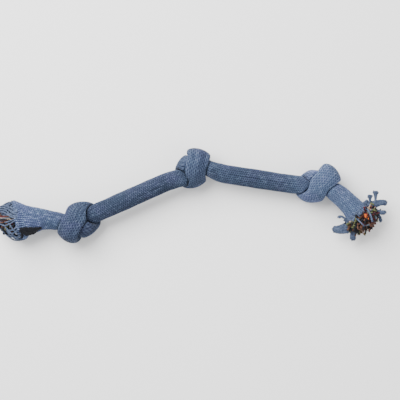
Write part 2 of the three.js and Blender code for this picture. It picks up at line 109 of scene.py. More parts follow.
# In metres: the gap between two turns, what is still the section's own place, the least lengths
# to divide by, and no limit
turn_gap = 0.0012
own_place = 0.001
least_reach = 1e-9
least_toward = 1e-7
unlimited = 1.0

# Half of an overhand knot from its middle outwards, in rope diameters; the other half is the same
# turned half a turn about Z
knot_half_shares = np.array([
    (0, 0, 0.83), (-0.39, -0.73, 0.71), (-1.06, -1.04, 0.26), (-1.35, -1.07, -0.35),
    (-1.21, -0.54, -0.83), (-0.96, -0.01, -1.2), (-0.58, 0.71, -0.62), (-0.22, 0.68, -0.44),
    (-0.16, 0.62, -0.32), (1.24, -0.04, -0.02),
])
knot_body_points = 6

# Route points between the knots and along the tails, as shares of the stretch or tail
left_stretch_shares = [(0.225, -0.004), (0.336, -0.003), (0.447, -0.003),
                       (0.558, -0.002), (0.669, -0.002), (0.78, -0.001)]
right_stretch_shares = [(0.192, -0.004), (0.314, -0.008), (0.436, -0.011),
                        (0.558, -0.015), (0.68, -0.019), (0.802, -0.022)]
left_tail_shares = [(-1.4, 0.02, -0.03), (-1.2, 0.02, -0.025), (-0.95, 0.02, -0.02),
                    (-0.7, 0.02, -0.01), (-0.48, 0.013, 0)]
right_tail_shares = [(0.479, -0.231, 0), (0.699, -0.466, 0), (0.85, -0.632, -0.01),
                     (0.988, -0.789, -0.02), (1.126, -0.947, -0.03)]


def turned(point, axis, degrees):
    """A point turned about an axis, 0 to 2 for x, y and z."""
    cos, sin = math.cos(math.radians(degrees)), math.sin(math.radians(degrees))
    a, b = (axis + 1) % 3, (axis + 2) % 3
    moved = np.array(point, float)
    moved[a], moved[b] = point[a] * cos - point[b] * sin, point[a] * sin + point[b] * cos
    return moved


middle_centre = middle_place + (0, 0, middle_height)
left_centre = middle_place + (0, 0, left_height) - turned((left_stretch, 0, 0), 2, left_heading)
right_centre = middle_place + (0, 0, right_height) + turned((right_stretch, 0, 0), 2, right_heading)

left_knot = dict(centre=left_centre, length_share=0.545, girth_share=0.537, roll=317, pitch=4,
                 heading=12, enters=11, leaves=25)
middle_knot = dict(centre=middle_centre, length_share=0.461, girth_share=0.478, roll=45, pitch=3,
                   heading=32, enters=42, leaves=23)
right_knot = dict(centre=right_centre, length_share=0.585, girth_share=0.435, roll=30, pitch=-1,
                  heading=5, enters=3, leaves=-17)
knots = [left_knot, middle_knot, right_knot]


def knot_points(knot):
    """The control points of one knot, in the rope's order."""
    girth_share = knot["girth_share"]
    size = rope_diameter * np.array([knot["length_share"], girth_share, girth_share])
    last = len(knot_half_shares) - 1

    def place(index, side):
        point = knot_half_shares[index] * size * (side, side, 1)
        point = turned(turned(point, 0, knot["roll"]), 1, -knot["pitch"])
        outside = max(0, (index - knot_body_points) / (last - knot_body_points))
        beyond = knot["leaves"] if side > 0 else knot["enters"]
        heading = knot["heading"] + (beyond - knot["heading"]) * outside
        return turned(point, 2, heading) + knot["centre"]

    return [place(i, -1) for i in range(last, 0, -1)] + [place(i, 1) for i in range(last + 1)]


def stretch_points(start, end, shares):
    """Control points between two knots: shares of the way there, and of it to the left."""
    line = end - start
    left = np.array([-line[1], line[0], 0])
    return [start + line * run + left * aside for run, aside in shares]


control_points = np.array([
    *left_centre + np.array(left_tail_shares) * left_tail,
    *knot_points(left_knot),
    *stretch_points(left_centre, middle_centre, left_stretch_shares),
    *knot_points(middle_knot),
    *stretch_points(middle_centre, right_centre, right_stretch_shares),
    *knot_points(right_knot),
    *right_centre + np.array(right_tail_shares) * right_tail,
])


def spline(points, per_span=60):
    """A uniform cubic B-spline over the control points."""
    u = np.linspace(0, 1, per_span, endpoint=False)[:, None]
    blends = ((1 - u) ** 3, 3 * u ** 3 - 6 * u ** 2 + 4,
              -3 * u ** 3 + 3 * u ** 2 + 3 * u + 1, u ** 3)
    return np.concatenate([sum(blend * points[first + k] for k, blend in enumerate(blends)) / 6
                           for first in range(len(points) - len(blends) + 1)])


def run_lengths(points):
    """How far along a polyline each of its points is."""
    steps = np.linalg.norm(np.diff(points, axis=0), axis=1)
    return np.concatenate([[0], np.cumsum(steps)])


def sampled(points, lengths, wanted):
    """Points of a polyline, given their lengths along it, at other lengths."""
    return np.stack([np.interp(wanted, lengths, points[:, k]) for k in range(3)], axis=-1)


def unit(arrows):
    return arrows / np.linalg.norm(arrows, axis=1)[:, None]


def carried(arrow, tangents):
    """An arrow carried along a path, square to it all the way."""
    made = np.zeros_like(tangents)
    for k, tangent in enumerate(tangents):
        arrow = arrow - tangent * (arrow @ tangent)
        arrow /= np.linalg.norm(arrow)
        made[k] = arrow
    return made


route_count = 960
fine = spline(control_points)
fine_lengths = run_lengths(fine)
rope_length = fine_lengths[-1]
route_lengths = np.linspace(0, rope_length, route_count)
route = sampled(fine, fine_lengths, route_lengths)
tangents = unit(np.gradient(route, axis=0))
normals = carried(np.array([0.0, 0.0, 1.0]), tangents)


def length_at(point):
    """How far along the rope its nearest place to a point is."""
    return route_lengths[np.argmin(np.linalg.norm(route - np.array(point), axis=1))]


def length_outside(knot, side, distance):
    """Where the rope, walked outwards from a knot, is that far from its centre."""
    within = np.nonzero(np.linalg.norm(route - knot["centre"], axis=1) < distance)[0]
    return route_lengths[within[0] if side < 0 else within[-1]]


def frames_at(lengths):
    """The rope's centre, its direction, and two arrows square to it, at lengths along it."""
    centre = sampled(route, route_lengths, lengths)
    tangent = unit(sampled(tangents, route_lengths, lengths))
    normal = sampled(normals, route_lengths, lengths)
    normal = unit(normal - tangent * (normal * tangent).sum(1)[:, None])
    return centre, tangent, normal, np.cross(tangent, normal)


hinge_length = {joint["name"]: length_at(joint["pos_m"]) for joint in frame["joints"]}

# The braid: columns of leaning stitches, the facets across a column, and the steps along a stitch.
# Stitches of the level height lie on the rope's own surface.
columns = 26
facets_per_column = 6
stitch = 0.0029
steps_per_stitch = 6
stitch_lean = 0.85
braid_relief = 0.0007
level_height = 0.45
section_rays = 96
ray_angles = np.arange(section_rays + 1) / section_rays * 2 * math.pi
corner_power = 10.0

# A slight unevenness of the rope: its size, and each wave's share, turn per metre of rope, start
# and turn round the rope
wander_size = 0.00014
wander_waves = [(1, 61, 1.3, 0), (0.7, 137, 0, 2), (0.6, 263, 0, -1)]


def own_radii(centre, tangent, rays):
    """How far the rope reaches by itself: round where free, flattened within a knot."""
    distances = [np.linalg.norm(centre - knot["centre"]) for knot in knots]
    nearest = int(np.argmin(distances))
    outward = centre - knots[nearest]["centre"]
    outward = outward - tangent * (outward @ tangent)
    reach = np.linalg.norm(outward)
    clear = min(1, reach / (round_near_share * rope_diameter))
    inside = np.clip((round_beyond_share * rope_diameter - distances[nearest]) / rope_radius, 0, 1)
    flattened = clear * inside
    half_width, half_thickness = (rope_radius + (share * rope_diameter - rope_radius) * flattened
                                  for share in (band_width_share, band_thickness_share))
    outward = outward / max(reach, least_reach)
    across = np.cross(tangent, outward)
    return 1 / np.hypot(rays @ outward / half_thickness, rays @ across / half_width)


def turn_limits(centre, length, rays):
    """How far the rope may reach: halfway to the next turn where two turns press together."""
    gaps = route - centre
    far = np.linalg.norm(gaps, axis=1)
    near = (far < turn_reach_share * rope_diameter) & (far > own_place)
    gaps, far = gaps[near], far[near]
    apart = np.abs(route_lengths[near] - length) > same_turn_share * rope_diameter
    room = np.where(apart, far - turn_gap, far * bend_room_share)
    toward = rays @ gaps.T
    limits = far * room / (2 * np.maximum(toward, least_toward))
    return np.where(toward > least_toward, limits, unlimited).min(axis=1)


def arms_at(angle, normal, side):
    """Arrows square to a path, at angles round it."""
    return np.cos(angle)[:, None] * normal + np.sin(angle)[:, None] * side


def section_radii(centre, tangent, normal, side, length):
    """How far the rope reaches from its centre line, all round it."""
    rays = arms_at(ray_angles[:-1], normal, side)
    own, limits = own_radii(centre, tangent, rays), turn_limits(centre, length, rays)
    return (own ** -corner_power + limits ** -corner_power) ** (-1 / corner_power)


def spread_evenly(radii, count):
    """The section's outline resampled to points that are evenly spaced along it."""
    closed = np.append(radii, radii[0])
    x, y = closed * np.cos(ray_angles), closed * np.sin(ray_angles)
    along = np.concatenate([[0], np.cumsum(np.hypot(np.diff(x), np.diff(y)))])
    wanted = np.arange(count + 1) / count * along[-1]
    return np.interp(wanted, along, x), np.interp(wanted, along, y)


def stitches(column, row):
    """Height of the braid, 0 to 1: two legs of each column lean towards its middle."""
    leg = np.abs(2 * (column % 1) - 1)
    crown = np.sin(math.pi * leg)
    stagger = 0.5 * (np.floor(column) % 2)
    strand = 0.5 + 0.5 * np.cos(2 * math.pi * (row + stagger + stitch_lean * leg))
    return crown * (0.5 + 0.5 * strand)


def girth_wander(length, angle):
    """How far the rope's surface strays outwards."""
    return wander_size * sum(share * np.sin(length * turn + start + around * angle)
                             for share, turn, start, around in wander_waves)


def rope_rows(lengths, flare=None, wall=0):
    """Rows of points on the braided rope, each with one point more than its facets. In a flare
    the rope is widened, and a wall puts the points that far within."""
    count = columns * facets_per_column
    share = np.arange(count + 1) / count
    rows = []
    for length, centre, tangent, normal, side in zip(lengths, *frames_at(lengths)):
        radii = section_radii(centre, tangent, normal, side, length)
        x, y = spread_evenly(radii, count)
        radius = np.hypot(x, y)
        angle = np.arctan2(y, x)
        height = stitches(share * columns, length / stitch)
        radius = radius + braid_relief * (height - level_height) + girth_wander(length, angle)
        row = centre + radius[:, None] * arms_at(angle, normal, side)
        row[:, 2] = np.maximum(row[:, 2], lowest)
        rows.append(row)
    return np.array(rows) if flare is None else flared(np.array(rows), lengths, flare, wall)


def loft(name, rows, lengths):
    """A closed skin of braid over rows of points, laid out in a UV map."""
    height, width = rows.shape[:2]
    bm = bmesh.new()
    layer = bm.loops.layers.uv.new("Braid")
    bmesh.ops.create_grid(bm, x_segments=width - 1, y_segments=height - 1, size=1)
    bm.verts.ensure_lookup_table()
    flat = np.array([vert.co[:2] for vert in bm.verts])
    column, row = np.rint((flat + 1) / 2 * (width - 1, height - 1)).astype(int).T
    for vert, place in zip(bm.verts, rows[row, column]):
        vert.co = place
    uv = np.column_stack([column / (width - 1), lengths[row] / rope_length])
    for face in bm.faces:
        for loop in face.loops:
            loop[layer].uv = uv[loop.vert.index]
    bmesh.ops.remove_doubles(bm, verts=bm.verts, dist=merge_distance)
    rim = [edge for edge in bm.edges if edge.is_boundary]
    bmesh.ops.holes_fill(bm, edges=rim, sides=0)
    bmesh.ops.recalc_face_normals(bm, faces=bm.faces)
    mesh = bpy.data.meshes.new(name)
    bm.to_mesh(mesh)
    bm.free()
    mesh.polygons.foreach_set("use_smooth", [True] * len(mesh.polygons))
    mesh.materials.append(braid_cotton)
    return linked(name, mesh)


def braid_lengths(start, end):
    """The lengths along the rope of the braid's rows from start to end, in either direction."""
    return np.linspace(start, end, round(abs(end - start) * steps_per_stitch / stitch) + 1)


def rope_piece(name, start, end, flare=None):
    lengths = braid_lengths(start, end)
    return loft(f"{name}_braid", rope_rows(lengths, flare), lengths)


def flared(rows, lengths, flare, wall):
    """The rope's rows widened as its tail opens towards the brim."""
    run = (lengths - flare["start"]) / (flare["brim"] - flare["start"])
    upper, lower = (np.interp(run, *zip(*flare[side]))[:, None]
                    for side in ("upper_shares", "lower_shares"))
    centres, ahead = (part[:, None] for part in frames_at(lengths)[:2])
    arms = rows - centres
    toward = 0.5 + 0.5 * arms[:, :, 1] / np.linalg.norm(arms, axis=2)
    growth = lower + (upper - lower) * toward
    radius = rope_radius + (flare["radius"] - rope_radius) * growth - wall
    arms = arms * (radius / rope_radius)[:, :, None]
    arms[:, :, 2] *= 1 + (brim_vertical_share - 1) * growth
    outward = ahead * np.sign(flare["brim"] - flare["start"])
    arms += outward * (flare["tilt_share"] * arms[:, :, 1] * growth ** 2)[:, :, None]
    wide = centres + arms
    wide[:, :, 2] = np.maximum(wide[:, :, 2], lowest)
    return wide


# Materials

def node(tree, kind, inputs=None, **settings):
    """A new node. Its inputs are numbers, colours or other nodes' outputs."""
    made = tree.nodes.new(kind)
    for key, value in settings.items():
        setattr(made, key, value)
    for key, value in (inputs or {}).items():
        if isinstance(value, (int, float)):
            made.inputs[key].default_value = value
        elif isinstance(value, tuple):
            made.inputs[key].default_value = (*value, 1)
        elif value is not None:
            tree.links.new(value, made.inputs[key])
    return made


def maths(tree, operation, a, b=None):
    return node(tree, "ShaderNodeMath", {0: a, 1: b}, operation=operation).outputs[0]


def times(tree, a, b):
    return maths(tree, "MULTIPLY", a, b)


def plus(tree, a, b):
    return maths(tree, "ADD", a, b)


def minus(tree, a, b):
    return maths(tree, "SUBTRACT", a, b)


def colour_ramp(tree, factor, stops):
    ramp = node(tree, "ShaderNodeValToRGB", {"Fac": factor})
    elements = ramp.color_ramp.elements
    while len(elements) < len(stops):
        elements.new(0.5)
    for element, (position, colour) in zip(elements, stops):
        element.position = position
        element.color = (*colour, 1)
    return ramp.outputs["Color"]


def share_along(tree, along, shares):
    """A share that changes along the rope."""
    return colour_ramp(tree, along, [(at, (share, share, share)) for at, share in shares])


def mixed(tree, factor, a, b, blend="MIX"):
    inputs = {0: factor, 6: a, 7: b}
    return node(tree, "ShaderNodeMix", inputs, data_type="RGBA", blend_type=blend).outputs[2]


def noise(tree, vector, scale, detail, roughness):
    inputs = {"Vector": vector, "Scale": scale, "Detail": detail, "Roughness": roughness}
    return node(tree, "ShaderNodeTexNoise", inputs).outputs["Fac"]


def combined(tree, x, y):
    return node(tree, "ShaderNodeCombineXYZ", {"X": x, "Y": y}).outputs["Vector"]


def cotton(name):
    """A material with the dull, slightly downy finish that all the yarn has."""
    material = bpy.data.materials.new(name)
    material.use_nodes = True
    shader = material.node_tree.nodes["Principled BSDF"]
    shader.inputs["Roughness"].default_value = 0.9
    shader.inputs["Specular IOR Level"].default_value = 0.12
    shader.inputs["Sheen Weight"].default_value = 0.06
    shader.inputs["Sheen Roughness"].default_value = 0.5
    return material, material.node_tree, shader


def bumpy(tree, shader, height, strength, distance):
    inputs = {"Height": height, "Strength": strength, "Distance": distance}
    bump = node(tree, "ShaderNodeBump", inputs)
    tree.links.new(bump.outputs["Normal"], shader.inputs["Normal"])


# Colours of the braid from its grooves to its crowns, painted shade in the grooves up to painted
# light on the crowns, and tints that come and go in clouds
denim_and_shading_stops = [
    (0.08, (0.003, 0.005, 0.014)), (0.34, (0.014, 0.021, 0.048)), (0.62, (0.076, 0.107, 0.196)),
    (0.86, (0.205, 0.258, 0.395)), (1.0, (0.32, 0.37, 0.49)),
]
tint_stops = [
    (0.35, (0.9, 0.97, 0.95)), (0.5, (1.0, 1.0, 1.0)), (0.65, (1.06, 0.98, 1.08)),
]
rubbed_denim = (0.098, 0.134, 0.235)

# The middle shade and the height that has it, so that lower stitches get painted shade and higher
# ones painted light; how much single stitches, the ribs' painted light and shade and columns of
# stitches may change the shade; how fast a column's shade changes along it; and how much of the
# bump is stitches and fuzz
middle_shade = 0.5
middle_height_share = 0.62
speck_strength = 0.38
painted_rib_strength = 0.14
streak_strength = 0.34
streak_rate = 0.03
stitch_bump = 0.8
fuzz_bump = 0.35

# How the braid looks changes along the rope. Each list has shares of the rope's length and of an
# effect: how light or dark the braid is made, how strong the painted shade in the grooves between
# the stitches and the painted light on their crowns are, how much lighter single stitches are than
# their neighbours, how much the columns of stitches differ, how strongly the painted light and
# shade of the ribs between the columns show, and how far the stitches are rubbed to one shade.
lightness_shares = [(0.04, 1.18), (0.1, 0.65), (0.27, 0.65), (0.33, 0.54), (0.4, 0.56), (0.46, 0.77),
              (0.58, 0.77), (0.66, 0.59), (0.72, 0.67), (0.78, 1.18), (0.92, 1.18), (1.0, 1.0)]
painted_groove_shares = [(0.0, 0.44), (0.07, 0.6), (0.12, 0.72), (0.26, 0.72), (0.31, 0.8), (0.42, 0.8),
                 (0.46, 0.64), (0.58, 0.64), (0.62, 0.8), (0.74, 0.8), (0.78, 0.74), (0.95, 0.74)]
speck_shares = [(0.0, 0.52), (0.08, 0.56), (0.13, 0.45), (1.0, 0.45)]
streak_shares = [(0.0, 0.25), (0.1, 0.4), (0.14, 1.0), (1.0, 1.0)]
painted_rib_shares = [(0.08, 0.0), (0.14, 0.6), (0.26, 0.6), (0.3, 0.23), (0.42, 0.34), (0.46, 0.9),
              (0.58, 0.9), (0.62, 1.0), (0.74, 1.0), (0.8, 0.9), (0.9, 0.9), (0.95, 0.6)]
rubbed_shares = [(0.0, 0.0), (0.72, 0.0), (0.78, 0.12), (1.0, 0.12)]


def cotton_fuzz_group():
    """Fine fibres on cotton, as a height: shared by the braid and the loose yarns."""
    group = bpy.data.node_groups.new("cotton_fuzz", "ShaderNodeTree")
    for name, side, kind in (("Vector", "INPUT", "Vector"), ("Scale", "INPUT", "Float"),
                             ("Height", "OUTPUT", "Float")):
        group.interface.new_socket(name=name, in_out=side, socket_type=f"NodeSocket{kind}")
    given = group.nodes.new("NodeGroupInput")
    result = group.nodes.new("NodeGroupOutput")
    fibres = noise(group, given.outputs["Vector"], given.outputs["Scale"],
                   detail=2.0, roughness=0.7)
    group.links.new(fibres, result.inputs["Height"])
    return group


cotton_fuzz = cotton_fuzz_group()


def fuzz_height(tree, vector, scale):
    inputs = {"Vector": vector, "Scale": scale}
    return node(tree, "ShaderNodeGroup", inputs, node_tree=cotton_fuzz).outputs["Height"]


def stitch_pattern(tree, around, along):
    """The stitches as the geometry has them: their column, row and height, and a vector that is
    each single stitch's own."""
    column = times(tree, around, float(columns))
    row = times(tree, along, float(rope_length / stitch))
    leg = maths(tree, "ABSOLUTE", minus(tree, times(tree, maths(tree, "FRACT", column), 2.0), 1.0))
    crown = maths(tree, "SINE", times(tree, leg, math.pi))
    stagger = times(tree, maths(tree, "MODULO", maths(tree, "FLOOR", column), 2.0), 0.5)
    phase = plus(tree, plus(tree, row, stagger), times(tree, leg, stitch_lean))
    wave = maths(tree, "COSINE", times(tree, phase, 2 * math.pi))
    strand = plus(tree, times(tree, wave, 0.5), 0.5)
    height = times(tree, crown, plus(tree, times(tree, strand, 0.5), 0.5))
    own = combined(tree, maths(tree, "FLOOR", times(tree, column, 2.0)),
                   maths(tree, "FLOOR", plus(tree, phase, 0.5)))
    return column, row, height, own


def braided_cotton():
    """The sleeve: every stitch its own shade, painted shade between the stitches and painted light
    on their crowns, and fuzz along each strand.
    """
    material, tree, shader = cotton("braided_cotton")
    uv = node(tree, "ShaderNodeUVMap", uv_map="Braid")
    split = node(tree, "ShaderNodeSeparateXYZ", {0: uv.outputs["UV"]})
    along = split.outputs["Y"]
    column, row, height, own = stitch_pattern(tree, split.outputs["X"], along)
    place = node(tree, "ShaderNodeTexCoord").outputs["Object"]

    chance = node(tree, "ShaderNodeTexWhiteNoise", {"Vector": own}, noise_dimensions="3D")
    speck = maths(tree, "POWER", chance.outputs["Value"], 3.0)
    # Ribs: painted shade down the middle of each column and painted light at its edges
    painted_rib = maths(tree, "COSINE", times(tree, column, 2 * math.pi))
    streak_place = combined(tree, maths(tree, "FLOOR", column), times(tree, row, streak_rate))
    streak = minus(tree, noise(tree, streak_place, scale=1.0, detail=1.0, roughness=0.5), 0.5)
    # Painted shade in the grooves between the stitches and painted light on their crowns, from each
    # stitch's height
    painted_relief_shading = times(tree, minus(tree, height, middle_height_share),
                  share_along(tree, along, painted_groove_shares))
    shade = plus(tree, painted_relief_shading, middle_shade)
    for effect, shares, strength in ((speck, speck_shares, speck_strength),
                                     (painted_rib, painted_rib_shares, painted_rib_strength),
                                     (streak, streak_shares, streak_strength)):
        effect_here = times(tree, effect, share_along(tree, along, shares))
        shade = plus(tree, shade, times(tree, effect_here, strength))

    denim = colour_ramp(tree, shade, denim_and_shading_stops)
    denim = mixed(tree, share_along(tree, along, rubbed_shares), denim, rubbed_denim)
    # The braid made lighter or darker along the rope
    denim = mixed(tree, 1.0, denim, share_along(tree, along, lightness_shares), "MULTIPLY")
    clouds = noise(tree, place, scale=38.0, detail=3.0, roughness=0.6)
    tint = colour_ramp(tree, clouds, tint_stops)
    tree.links.new(mixed(tree, 1.0, denim, tint, "MULTIPLY"), shader.inputs["Base Color"])
    fuzz = fuzz_height(tree, place, scale=2600.0)
    relief = plus(tree, times(tree, height, stitch_bump), times(tree, fuzz, fuzz_bump))
    bumpy(tree, shader, relief, strength=0.6, distance=0.0005)
    return material


def plain_yarn(name, dark, light):
    """Loose cotton yarn: two shades of one colour, broken up along its length."""
    material, tree, shader = cotton(name)
    place = node(tree, "ShaderNodeTexCoord").outputs["Object"]
    patches = noise(tree, place, scale=420.0, detail=4.0, roughness=0.7)
    colour = colour_ramp(tree, patches, [(0.3, dark), (0.7, light)])
    tree.links.new(colour, shader.inputs["Base Color"])
    bumpy(tree, shader, fuzz_height(tree, place, scale=3200.0), strength=0.5, distance=0.0003)
    return material


# The core's yarns by colour: their dark and light shades
core_colours = dict(
    maroon=((0.03, 0.006, 0.01), (0.12, 0.022, 0.032)),
    brown=((0.032, 0.014, 0.01), (0.14, 0.064, 0.042)),
    black=((0.003, 0.004, 0.006), (0.016, 0.017, 0.023)),
    olive=((0.035, 0.04, 0.018), (0.15, 0.16, 0.075)),
    orange=((0.42, 0.07, 0.008), (0.85, 0.19, 0.02)),
    red=((0.13, 0.016, 0.018), (0.32, 0.05, 0.045)),
    cream=((0.2, 0.13, 0.095), (0.48, 0.37, 0.29)),
    yellow=((0.4, 0.26, 0.02), (0.7, 0.52, 0.06)),
    slate=((0.03, 0.038, 0.05), (0.12, 0.14, 0.175)),
)
core_names = list(core_colours)
braid_cotton = braided_cotton()
blue_yarn = plain_yarn("blue_yarn", (0.018, 0.028, 0.058), (0.112, 0.145, 0.225))
core_yarns = [plain_yarn(f"{colour}_yarn", *shades) for colour, shades in core_colours.items()]


# How the braid opens at its two ends: shares of the flare's run and of its widening
sleeve_wall = 0.0025
wall_depth = 0.016
wall_rows = 14
brim_vertical_share = 0.92
left_brim_length = length_outside(left_knot, -1, left_tail)
right_brim_length = length_outside(right_knot, 1, right_tail)
left_flare = dict(
    start=left_brim_length + 0.049, brim=left_brim_length, radius=0.0265, tilt_share=0.2,
    upper_shares=[(0, 0), (0.15, 0.08), (0.34, 0.18), (0.61, 0.34), (0.75, 0.45), (0.87, 0.66),
                  (1, 0.94)],
    lower_shares=[(0, 0), (0.15, 0.06), (0.28, 0.14), (0.36, 0.27), (0.45, 0.38), (0.61, 0.53),
                  (0.72, 0.7), (0.8, 0.92), (0.87, 1.04), (1, 1.06)])
right_flare = dict(
    start=right_brim_length - 0.05, brim=right_brim_length, radius=0.0165, tilt_share=0,
    upper_shares=[(0, 0), (0.1, 0.12), (0.3, 0.16), (0.6, 0.3), (0.75, 0.42), (0.88, 0.62),
                  (1, 0.8)],
    lower_shares=[(0, 0), (0.1, 0.3), (0.3, 0.36), (0.5, 0.42), (0.68, 0.55), (0.8, 0.78),
                  (0.9, 1.1), (1, 1.35)])

# Where two pieces of braid meet between their hinges, and how far a bend reaches to each side
left_tail_length, left_bend_length, right_bend_length, right_tail_length = (
    (hinge_length[f"{part}_lift"] + hinge_length[f"{part}_swing"]) / 2
    for part in ("left_tail", "left_stretch", "right_stretch", "right_tail"))
half_tail, half_bend = ((hinge_length[f"{part}_swing"] - hinge_length[f"{part}_lift"]) / 2
                        for part in ("left_tail", "left_stretch"))


def bends(piece):
    """The piece's placement baked into its mesh."""
    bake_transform(piece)


def knotted_rope(knot, start, end, stands_for, flare=None):
    """A knot and the rope beside it, as far as the hinges' bending reaches."""
    piece = rope_piece(knot, start, end, flare)
    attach(piece, knot)
    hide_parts(*stands_for)


def bending_rope(name, start, end, stands_for, flare=None):
    """A length of rope across one hinge."""
    piece = rope_piece(name, start, end, flare)
    bends(piece)
    if stands_for:
        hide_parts(*stands_for)


def both(*names):
    """The CAD nodes of the rope's sleeve and core, for some of its lengths."""
    return [f"{name}_{layer}" for name in names for layer in ("sleeve", "core")]


left_knot_start = hinge_length["left_tail_swing"] + half_tail
left_knot_end = hinge_length["left_stretch_lift"] - half_bend
middle_knot_start = hinge_length["left_stretch_swing"] + half_bend
middle_knot_end = hinge_length["right_stretch_swing"] - half_bend
right_knot_start = hinge_length["right_stretch_lift"] + half_bend
right_knot_end = hinge_length["right_tail_swing"] - half_tail

knotted_rope("left_knot", left_knot_start, left_knot_end, both("left_knot", "left_stretch_outer"))
knotted_rope("middle_knot", middle_knot_start, middle_knot_end,
             both("left_stretch_inner", "middle_knot", "right_stretch_inner"))
knotted_rope("right_knot", right_knot_start, right_knot_end,
             both("right_stretch_outer", "right_knot"), right_flare)

bending_rope("left_tail", left_tail_length, left_knot_start,
             both("left_tail_bend"), left_flare)
bending_rope("left_stretch_outer", left_knot_end, left_bend_length,
             both("left_stretch_bend"))
bending_rope("left_stretch_inner", left_bend_length, middle_knot_start,
             [])
bending_rope("right_stretch_inner", middle_knot_end, right_bend_length,
             both("right_stretch_bend"))
bending_rope("right_stretch_outer", right_bend_length, right_knot_start,
             [])
bending_rope("right_tail", right_knot_end, right_tail_length,
             both("right_tail_bend"), right_flare)


# Frayed ends

def end_frame(length, side):
    """A frayed end's own frame: its centre, outwards along the rope, level to the left, and up."""
    centre, tangent, _, _ = frames_at(np.array([length]))
    outward = tangent[0] * side
    level = np.cross((0, 0, 1), outward)
    level /= np.linalg.norm(level)
    return centre[0], outward, level, np.cross(outward, level)


def placed(end, out, left, up):
    """A point beside a frayed end, in its own frame."""
    centre, outward, level, rise = end
    return centre + outward * out + level * left + rise * up


def flared_sleeve(tassel, seam, flare):
    """The rope's last braid. It widens to its brim and turns back inside as its own wall."""
    brim = flare["brim"]
    outer = braid_lengths(seam, brim)
    inner = np.linspace(brim, brim + wall_depth * np.sign(seam - brim), wall_rows)
    rows = np.concatenate([rope_rows(outer, flare), rope_rows(inner, flare, sleeve_wall)])
    piece = loft(f"{tassel}_braid", rows, np.concatenate([outer, inner]))
    bends(piece)
    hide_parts(f"{tassel}_sleeve")


def end_path(end, points, count):
    """A Catmull-Rom curve through points that are told in a frayed end's own frame."""
    p = np.array([placed(end, *point) for point in points])
    p = np.vstack([2 * p[0] - p[1], p, 2 * p[-1] - p[-2]])
    at = np.linspace(0, len(p) - 3, count)
    first = np.minimum(at.astype(int), len(p) - 4)
    u = (at - first)[:, None]
    a, b, c, d = (p[first + k] for k in range(4))
    square, cube = 2 * a - 5 * b + 4 * c - d, 3 * b - a - 3 * c + d
    return 0.5 * (2 * b + (c - a) * u + square * u ** 2 + cube * u ** 3)


# How far a yarn's plies lie from its middle and how thick they are, as shares of its own radius,
# and an arrow that no yarn follows
ply_offset_share = 0.46
ply_radius_share = 0.58
oblique = (0.31, 0.27, 0.91)


def plies(path, radii, count, lay, material=0):
    """The plies of a twisted yarn that follows a path: each one's points, radii and material."""
    radii = np.broadcast_to(radii, len(path))
    lengths = run_lengths(path)
    tangent = unit(np.gradient(path, axis=0))
    normal = carried(np.cross(tangent[0], oblique), tangent)
    side = np.cross(tangent, normal)
    made = []
    for k in range(count):
        angle = 2 * math.pi * (k / count + lengths / lay)
        arms = arms_at(angle, normal, side)
        points = path + arms * (radii * ply_offset_share)[:, None]
        made.append((points, radii * ply_radius_share, material))
    return made


def yarn_piece(name, yarns, materials):
    """Many yarns in one piece; each is its points, its radii and the number of its material."""
    curve = bpy.data.curves.new(name, "CURVE")
    curve.dimensions = "3D"
    curve.bevel_depth = 1.0
    curve.bevel_resolution = 1
    curve.use_fill_caps = True
    for material in materials:
        curve.materials.append(material)
    for points, radii, material in yarns:
        line = curve.splines.new("POLY")
        line.points.add(len(points) - 1)
        line.points.foreach_set("co", np.column_stack([points, np.ones(len(points))]).ravel())
        line.points.foreach_set("radius", radii)
        line.material_index = material
        line.use_smooth = True
    drawn = linked(name + "_line", curve)
    evaluated = drawn.evaluated_get(bpy.context.evaluated_depsgraph_get())
    mesh = bpy.data.meshes.new_from_object(evaluated)
    bpy.data.objects.remove(drawn)
    bpy.data.curves.remove(curve)
    bm = bmesh.new()
    bm.from_mesh(mesh)
    bmesh.ops.remove_doubles(bm, verts=bm.verts, dist=merge_distance)
    for vert in bm.verts:
        vert.co.z = max(vert.co.z, lowest)
    bm.to_mesh(mesh)
    bm.free()
    mesh.name = name
    return linked(name, mesh)


# The ranges of the left strands are of their reach outwards, of the shares of the brim's radius
# that they have at their tips and at their widest, and of their turn round the rope. None lies
# close to the very top.
left_strand_radius = 0.00105
left_strand_count = 42
left_strand_lay = 0.011
left_fray = 0.031
reach_range = (0.62, 1.05)
tip_range = (0.05, 0.42)
belly_range = (0.88, 0.98)
sweep_range = (0.1, 0.85)
bearing_stray = 0.09
sway_stray = 0.45
bare_top = 0.15
crossing_start = -0.16
crossing_run = 0.62
layer_step = 0.0007

# Strands that sweep side by side over the core's upper flank: points outwards, level and up
sweeping_strands = [
    [(-0.003, -0.002, 0.0236), (0.003, -0.003, 0.024), (0.0082, -0.0056, 0.023),
     (0.0145, -0.0094, 0.02), (0.0209, -0.0099, 0.0158), (0.0262, -0.007, 0.0105)],
    [(-0.003, -0.0042, 0.0234), (0.002, -0.005, 0.0238), (0.006, -0.0072, 0.023),
     (0.0128, -0.0118, 0.0196), (0.0205, -0.0128, 0.0152), (0.0262, -0.0102, 0.01)],
    [(-0.003, -0.007, 0.0226), (0.001, -0.0078, 0.023), (0.0044, -0.01, 0.022),
     (0.0108, -0.0143, 0.0184), (0.0186, -0.0156, 0.014), (0.0255, -0.0136, 0.0088)],
    [(-0.004, -0.0096, 0.0214), (0.0012, -0.0125, 0.021), (0.0082, -0.0168, 0.017),
     (0.0172, -0.0182, 0.012), (0.0238, -0.0168, 0.007)],
]


